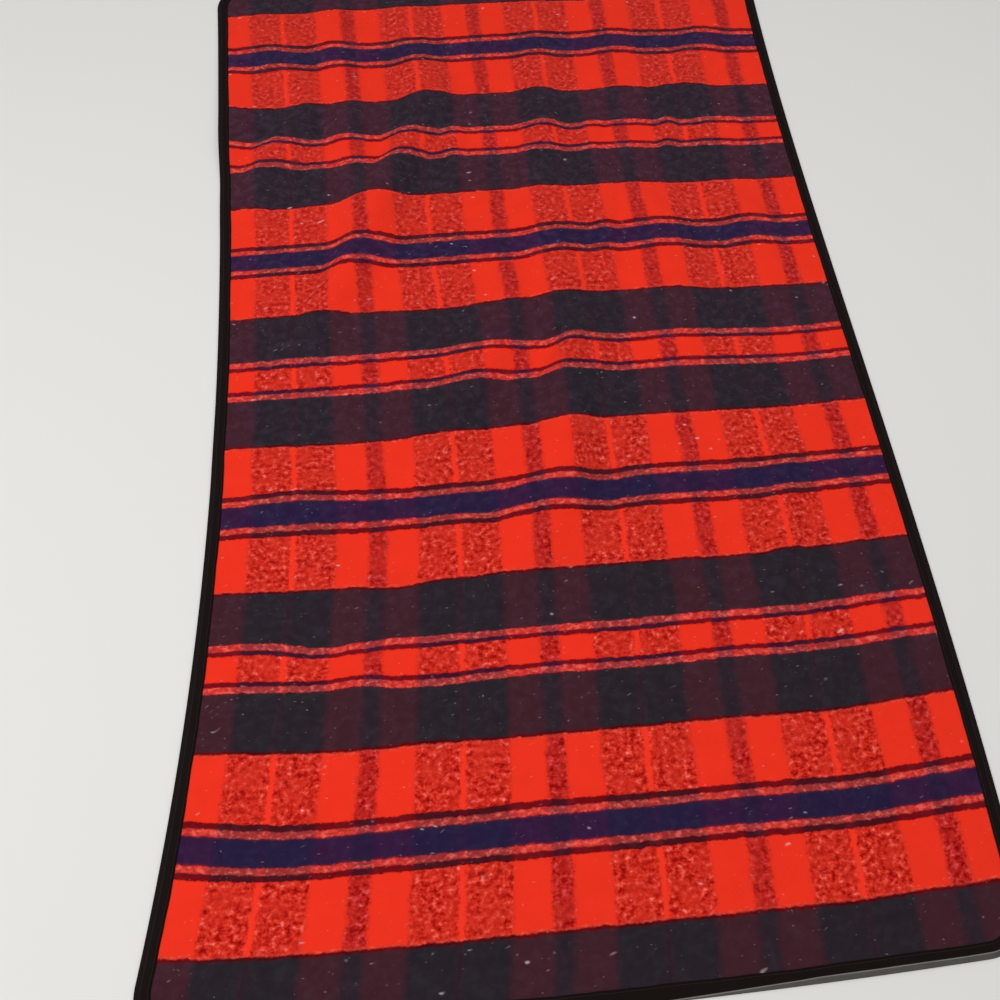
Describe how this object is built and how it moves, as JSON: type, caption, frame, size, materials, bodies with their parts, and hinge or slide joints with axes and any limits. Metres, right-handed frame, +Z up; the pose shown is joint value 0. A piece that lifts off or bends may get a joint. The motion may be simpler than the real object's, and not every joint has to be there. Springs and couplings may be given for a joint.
{
  "type": "throw blanket",
  "caption": "Red and black plaid throw with a black sewn binding, lying loosely on a floor with long soft folds.",
  "frame": {"origin": "bottom centre of the laid throw's box, on the floor it lies on", "axes": "+X across the throw, +Y along it from the near end to the far end, +Z up"},
  "size_m": [1.3728, 2.215, 0.0316],
  "materials": {
    "plaid_cloth": "matt brushed",
    "binding_tape": "matt woven"
  },
  "bodies": {
    "root": {"cloth": "plaid_cloth", "binding": "binding_tape"}
  },
  "joints": []
}
